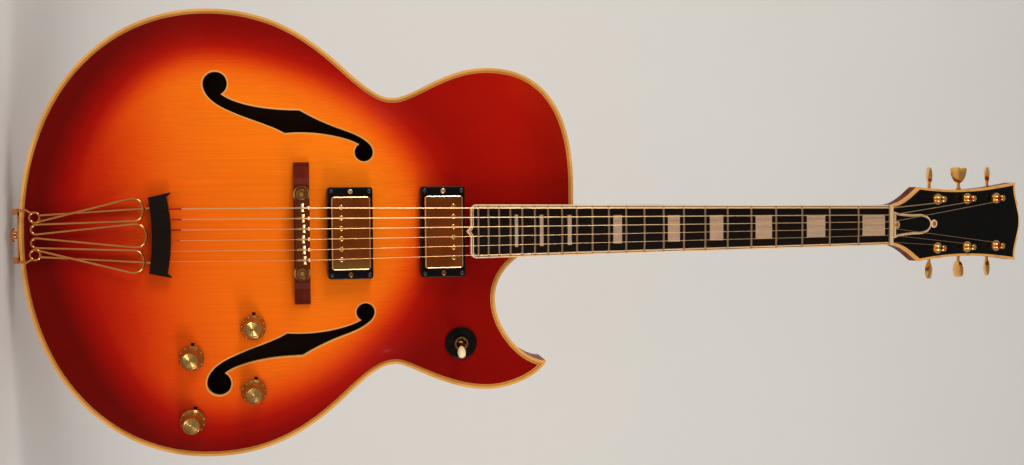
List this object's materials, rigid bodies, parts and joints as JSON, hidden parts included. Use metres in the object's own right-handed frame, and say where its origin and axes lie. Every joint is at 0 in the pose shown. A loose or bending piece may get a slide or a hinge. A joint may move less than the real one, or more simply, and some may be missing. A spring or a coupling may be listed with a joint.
{
  "type": "archtop electric guitar",
  "caption": "Hollow-bodied archtop electric guitar with one pointed cutaway, a floating bridge, a finger-loop tailpiece, covered pickups, turning tuners and control knobs.",
  "frame": {"origin": "where the end pin leaves the tail, half way through the body's depth", "axes": "+Z from the tail to the head along the strings' middle line, -Y out of the carved front, +X towards the treble side and the cutaway"},
  "size_m": [0.4356, 0.1326, 1.0557],
  "materials": {
    "sunburst_top": "glossy lacquer over spruce, amber middle fading to dark cherry",
    "body_wood": "glossy cherry lacquer over maple",
    "inner_wood": "bare spruce and mahogany",
    "binding": "aged cream plies",
    "dark_line": "gloss",
    "ebony": "satin",
    "fret_wire": "polished",
    "pearl": "pearly gloss",
    "black_gloss": "gloss",
    "neck_wood": "glossy cherry lacquer",
    "plain_steel": "plain",
    "gold_plate": "gold plated, polished",
    "string_steel": "plain and wound wire",
    "bone": "polished bone",
    "rosewood": "satin",
    "control_metal": "dark plate",
    "gold_knob": "clear over gold",
    "cream_plastic": "gloss"
  },
  "bodies": {
    "guitar": {"top_plate": "sunburst_top", "back_plate": "body_wood", "rim": "body_wood", "end_blocks": "inner_wood", "linings": "inner_wood", "tone_bars": "inner_wood", "top_binding": "binding", "back_binding": "binding", "neck_binding": "binding", "purfling": "dark_line", "fingerboard": "ebony", "tailpiece_block": "ebony", "frets": "fret_wire", "fret_inlays": "pearl", "headstock_veneer": "black_gloss", "truss_rod_cover": "black_gloss", "pickup_rings": "black_gloss", "neck": "neck_wood", "truss_rod": "plain_steel", "tuner_housings": "gold_plate", "tailpiece_wires": "gold_plate", "tailpiece_bracket": "gold_plate", "end_pin": "gold_plate", "output_jack": "gold_plate", "bridge_posts": "gold_plate", "small_screws": "gold_plate", "strings": "string_steel", "nut": "bone", "bridge_base": "rosewood", "control_pots": "control_metal", "switch_housing": "control_metal"},
    "post_1": {"tuner_post_1": "gold_plate"},
    "key_1": {"tuner_key_1": "gold_plate"},
    "post_2": {"tuner_post_2": "gold_plate"},
    "key_2": {"tuner_key_2": "gold_plate"},
    "post_3": {"tuner_post_3": "gold_plate"},
    "key_3": {"tuner_key_3": "gold_plate"},
    "post_4": {"tuner_post_4": "gold_plate"},
    "key_4": {"tuner_key_4": "gold_plate"},
    "post_5": {"tuner_post_5": "gold_plate"},
    "key_5": {"tuner_key_5": "gold_plate"},
    "post_6": {"tuner_post_6": "gold_plate"},
    "key_6": {"tuner_key_6": "gold_plate"},
    "control_1": {"knob_1": "gold_knob"},
    "control_2": {"knob_2": "gold_knob"},
    "control_3": {"knob_3": "gold_knob"},
    "control_4": {"knob_4": "gold_knob"},
    "selector": {"switch_lever": "gold_plate", "switch_tip": "cream_plastic"},
    "bridge": {"bridge_bar": "gold_plate"},
    "thumb_bass": {"thumbwheel_bass": "gold_plate"},
    "thumb_treble": {"thumbwheel_treble": "gold_plate"},
    "saddle_1": {"saddle_1": "gold_plate"},
    "saddle_2": {"saddle_2": "gold_plate"},
    "saddle_3": {"saddle_3": "gold_plate"},
    "saddle_4": {"saddle_4": "gold_plate"},
    "saddle_5": {"saddle_5": "gold_plate"},
    "saddle_6": {"saddle_6": "gold_plate"},
    "pickup_bridge": {"pickup_bridge": "gold_plate"},
    "pickup_neck": {"pickup_neck": "gold_plate"}
  },
  "joints": [
    {"name": "key_1_turn", "type": "hinge", "parent": "guitar", "child": "key_1", "pos_m": [-0.0197, 0.02119, 0.9278], "axis": [-1, 0, 0], "continuous": true},
    {"name": "post_1_turn", "type": "hinge", "parent": "guitar", "child": "post_1", "pos_m": [-0.0257, 0.01938, 0.91886], "axis": [0, -0.934, 0.3574], "continuous": true},
    {"name": "key_2_turn", "type": "hinge", "parent": "guitar", "child": "key_2", "pos_m": [-0.0197, 0.03656, 0.96796], "axis": [-1, 0, 0], "continuous": true},
    {"name": "post_2_turn", "type": "hinge", "parent": "guitar", "child": "post_2", "pos_m": [-0.0257, 0.03474, 0.95902], "axis": [0, -0.934, 0.3574], "continuous": true},
    {"name": "key_3_turn", "type": "hinge", "parent": "guitar", "child": "key_3", "pos_m": [-0.0197, 0.05193, 1.00812], "axis": [-1, 0, 0], "continuous": true},
    {"name": "post_3_turn", "type": "hinge", "parent": "guitar", "child": "post_3", "pos_m": [-0.0257, 0.05011, 0.99918], "axis": [0, -0.934, 0.3574], "continuous": true},
    {"name": "key_4_turn", "type": "hinge", "parent": "guitar", "child": "key_4", "pos_m": [0.0197, 0.02119, 0.9278], "axis": [1, 0, 0], "continuous": true},
    {"name": "post_4_turn", "type": "hinge", "parent": "guitar", "child": "post_4", "pos_m": [0.0257, 0.01938, 0.91886], "axis": [0, -0.934, 0.3574], "continuous": true},
    {"name": "key_5_turn", "type": "hinge", "parent": "guitar", "child": "key_5", "pos_m": [0.0197, 0.03656, 0.96796], "axis": [1, 0, 0], "continuous": true},
    {"name": "post_5_turn", "type": "hinge", "parent": "guitar", "child": "post_5", "pos_m": [0.0257, 0.03474, 0.95902], "axis": [0, -0.934, 0.3574], "continuous": true},
    {"name": "key_6_turn", "type": "hinge", "parent": "guitar", "child": "key_6", "pos_m": [0.0197, 0.05193, 1.00812], "axis": [1, 0, 0], "continuous": true},
    {"name": "post_6_turn", "type": "hinge", "parent": "guitar", "child": "post_6", "pos_m": [0.0257, 0.05011, 0.99918], "axis": [0, -0.934, 0.3574], "continuous": true},
    {"name": "control_1_turn", "type": "hinge", "parent": "guitar", "child": "control_1", "pos_m": [0.08932, -0.04981, 0.21822], "axis": [0.0511, -0.9987, 0.0086], "range_deg": [0, 300]},
    {"name": "control_2_turn", "type": "hinge", "parent": "guitar", "child": "control_2", "pos_m": [0.11763, -0.04737, 0.15972], "axis": [0.0951, -0.995, -0.0315], "range_deg": [0, 300]},
    {"name": "control_3_turn", "type": "hinge", "parent": "guitar", "child": "control_3", "pos_m": [0.15182, -0.04283, 0.2177], "axis": [0.1746, -0.9838, 0.0407], "range_deg": [0, 300]},
    {"name": "control_4_turn", "type": "hinge", "parent": "guitar", "child": "control_4", "pos_m": [0.17968, -0.03779, 0.15932], "axis": [0.2014, -0.979, -0.032], "range_deg": [0, 300]},
    {"name": "selector_tilt", "type": "hinge", "parent": "guitar", "child": "selector", "pos_m": [0.1106, -0.03245, 0.4189], "axis": [0.4067, 0, 0.9135], "range_deg": [-34, 0]},
    {"name": "bridge_height", "type": "slide", "parent": "guitar", "child": "bridge", "axis": [0, -1, 0], "range_m": [-0.003, 0]},
    {"name": "thumb_bass_turn", "type": "hinge", "parent": "bridge", "child": "thumb_bass", "pos_m": [-0.0375, -0.0598, 0.2655], "axis": [0, -1, 0], "range_deg": [-1350, 0]},
    {"name": "thumb_treble_turn", "type": "hinge", "parent": "bridge", "child": "thumb_treble", "pos_m": [0.0375, -0.0598, 0.2655], "axis": [0, -1, 0], "range_deg": [-1350, 0]},
    {"name": "saddle_1_slide", "type": "slide", "parent": "bridge", "child": "saddle_1", "axis": [0, 0, 1], "range_m": [-0.002, 0.0012]},
    {"name": "saddle_2_slide", "type": "slide", "parent": "bridge", "child": "saddle_2", "axis": [0, 0, 1], "range_m": [-0.002, 0.0012]},
    {"name": "saddle_3_slide", "type": "slide", "parent": "bridge", "child": "saddle_3", "axis": [0, 0, 1], "range_m": [-0.002, 0.0007]},
    {"name": "saddle_4_slide", "type": "slide", "parent": "bridge", "child": "saddle_4", "axis": [0, 0, 1], "range_m": [-0.002, 0.0012]},
    {"name": "saddle_5_slide", "type": "slide", "parent": "bridge", "child": "saddle_5", "axis": [0, 0, 1], "range_m": [-0.002, 0.0007]},
    {"name": "saddle_6_slide", "type": "slide", "parent": "bridge", "child": "saddle_6", "axis": [0, 0, 1], "range_m": [-0.002, 0.0001]},
    {"name": "pickup_bridge_height", "type": "slide", "parent": "guitar", "child": "pickup_bridge", "axis": [0, -0.9973, 0.0732], "range_m": [-0.003, 0.0008]},
    {"name": "pickup_neck_height", "type": "slide", "parent": "guitar", "child": "pickup_neck", "axis": [0, -0.9973, 0.0732], "range_m": [-0.003, 0.0008]}
  ],
  "couplings": [
    {"joint": "post_1_turn", "follows": "key_1_turn", "ratio": -0.066667},
    {"joint": "post_2_turn", "follows": "key_2_turn", "ratio": -0.066667},
    {"joint": "post_3_turn", "follows": "key_3_turn", "ratio": -0.066667},
    {"joint": "post_4_turn", "follows": "key_4_turn", "ratio": 0.066667},
    {"joint": "post_5_turn", "follows": "key_5_turn", "ratio": 0.066667},
    {"joint": "post_6_turn", "follows": "key_6_turn", "ratio": 0.066667},
    {"joint": "thumb_bass_turn", "follows": "bridge_height", "rad_per_m": 7854},
    {"joint": "thumb_treble_turn", "follows": "bridge_height", "rad_per_m": 7854}
  ]
}
